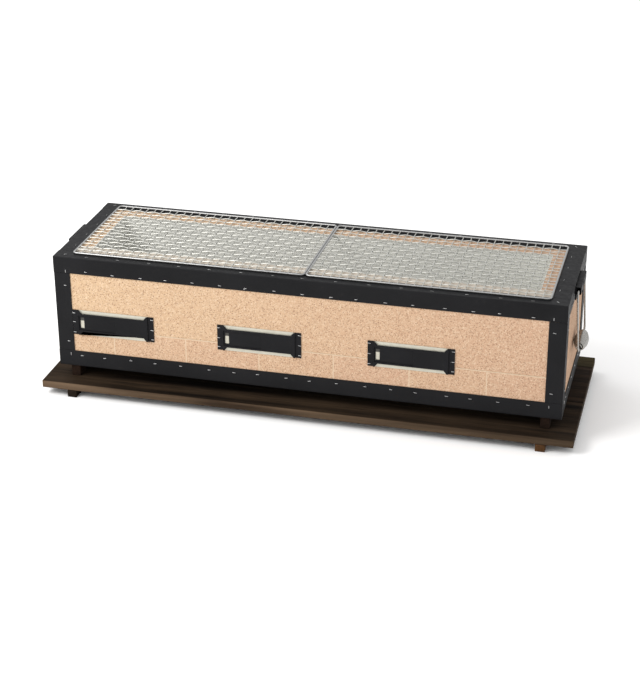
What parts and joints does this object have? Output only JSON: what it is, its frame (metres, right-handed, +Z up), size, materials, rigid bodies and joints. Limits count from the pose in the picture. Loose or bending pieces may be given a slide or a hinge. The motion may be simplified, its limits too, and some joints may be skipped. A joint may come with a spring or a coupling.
{
  "type": "hibachi grill",
  "caption": "Long insulating-brick charcoal grill in a black steel angle frame, with sliding air shutters, lift-off wire nets, hanging wire handles and a wooden base board.",
  "frame": {"origin": "centre of the footprint, at the underside of the base board's battens", "axes": "+X along the grill, to the right seen from the front; +Y to the back; +Z up"},
  "size_m": [0.95, 0.332, 0.2627],
  "materials": {
    "stained_wood": "dark stained softwood planks with visible grain",
    "skid_wood": "reddish brown wood",
    "black_steel": "black paint, satin",
    "vent_black": "black paint, satin",
    "brick": "sawn diatomite, matt, tan with dark specks",
    "zinc_sheet": "galvanised sheet",
    "liner_sheet": "dull galvanised sheet",
    "net_wire": "bright crimped wire",
    "handle_wire": "bright plated wire",
    "staple_wire": "bright staple wire",
    "grate_iron": "dull sheet iron"
  },
  "bodies": {
    "base_board": {"base_plank_front": "stained_wood", "base_plank_middle": "stained_wood", "base_plank_rear": "stained_wood", "base_batten_left": "stained_wood", "base_batten_right": "stained_wood"},
    "grill": {"skid_left": "skid_wood", "skid_right": "skid_wood", "bottom_plate": "zinc_sheet", "floor_brick_left": "brick", "floor_brick_right": "brick", "firebox_liner": "liner_sheet", "rail_top_front": "black_steel", "rail_bottom_front": "black_steel", "brick_lower_front": "brick", "brick_upper_front": "brick", "rail_top_right": "black_steel", "rail_bottom_right": "black_steel", "brick_lower_right": "brick", "brick_upper_right": "brick", "rail_top_back": "black_steel", "rail_bottom_back": "black_steel", "brick_lower_back": "brick", "brick_upper_back": "brick", "rail_top_left": "black_steel", "rail_bottom_left": "black_steel", "brick_lower_left": "brick", "brick_upper_left": "brick", "post_front_left": "black_steel", "post_front_right": "black_steel", "post_back_right": "black_steel", "post_back_left": "black_steel", "vent_plate_front_1": "zinc_sheet", "vent_cover_front_1": "vent_black", "vent_plate_front_2": "zinc_sheet", "vent_cover_front_2": "vent_black", "vent_plate_front_3": "zinc_sheet", "vent_cover_front_3": "vent_black", "vent_plate_back_1": "zinc_sheet", "vent_cover_back_1": "vent_black", "vent_plate_back_2": "zinc_sheet", "vent_cover_back_2": "vent_black", "vent_plate_back_3": "zinc_sheet", "vent_cover_back_3": "vent_black", "handle_bracket_left": "black_steel", "handle_bracket_right": "black_steel"},
    "charcoal_grate": {"charcoal_grate": "grate_iron"},
    "net_left": {"grill_net_left": "net_wire"},
    "net_right": {"grill_net_right": "net_wire"},
    "shutter_front_1": {"vent_shutter_front_1": "vent_black"},
    "shutter_front_2": {"vent_shutter_front_2": "vent_black"},
    "shutter_front_3": {"vent_shutter_front_3": "vent_black"},
    "shutter_back_1": {"vent_shutter_back_1": "vent_black"},
    "shutter_back_2": {"vent_shutter_back_2": "vent_black"},
    "shutter_back_3": {"vent_shutter_back_3": "vent_black"},
    "handle_left": {"handle_bail_left": "handle_wire", "handle_grip_left": "handle_wire"},
    "handle_right": {"handle_bail_right": "handle_wire", "handle_grip_right": "handle_wire"}
  },
  "joints": [
    {"name": "grill_lift", "type": "slide", "parent": "base_board", "child": "grill", "axis": [0, 0, 1], "range_m": [0, 0.15]},
    {"name": "shutter_slide_front_1", "type": "slide", "parent": "grill", "child": "shutter_front_1", "axis": [1, 0, 0], "range_m": [0, 0.056]},
    {"name": "shutter_slide_front_2", "type": "slide", "parent": "grill", "child": "shutter_front_2", "axis": [1, 0, 0], "range_m": [0, 0.056]},
    {"name": "shutter_slide_front_3", "type": "slide", "parent": "grill", "child": "shutter_front_3", "axis": [1, 0, 0], "range_m": [0, 0.056]},
    {"name": "shutter_slide_back_1", "type": "slide", "parent": "grill", "child": "shutter_back_1", "axis": [-1, 0, 0], "range_m": [0, 0.056]},
    {"name": "shutter_slide_back_2", "type": "slide", "parent": "grill", "child": "shutter_back_2", "axis": [-1, 0, 0], "range_m": [0, 0.056]},
    {"name": "shutter_slide_back_3", "type": "slide", "parent": "grill", "child": "shutter_back_3", "axis": [-1, 0, 0], "range_m": [0, 0.056]},
    {"name": "handle_swing_left", "type": "hinge", "parent": "grill", "child": "handle_left", "pos_m": [-0.4556, 0, 0.2454], "axis": [0, 1, 0], "range_deg": [0, 150]},
    {"name": "handle_swing_right", "type": "hinge", "parent": "grill", "child": "handle_right", "pos_m": [0.4556, 0, 0.2454], "axis": [0, -1, 0], "range_deg": [0, 150]},
    {"name": "net_lift_left", "type": "slide", "parent": "grill", "child": "net_left", "axis": [0, 0, 1], "range_m": [0, 0.12]},
    {"name": "net_lift_right", "type": "slide", "parent": "grill", "child": "net_right", "axis": [0, 0, 1], "range_m": [0, 0.12]},
    {"name": "grate_lift", "type": "slide", "parent": "grill", "child": "charcoal_grate", "axis": [0, 0, 1], "range_m": [0, 0.09]}
  ]
}
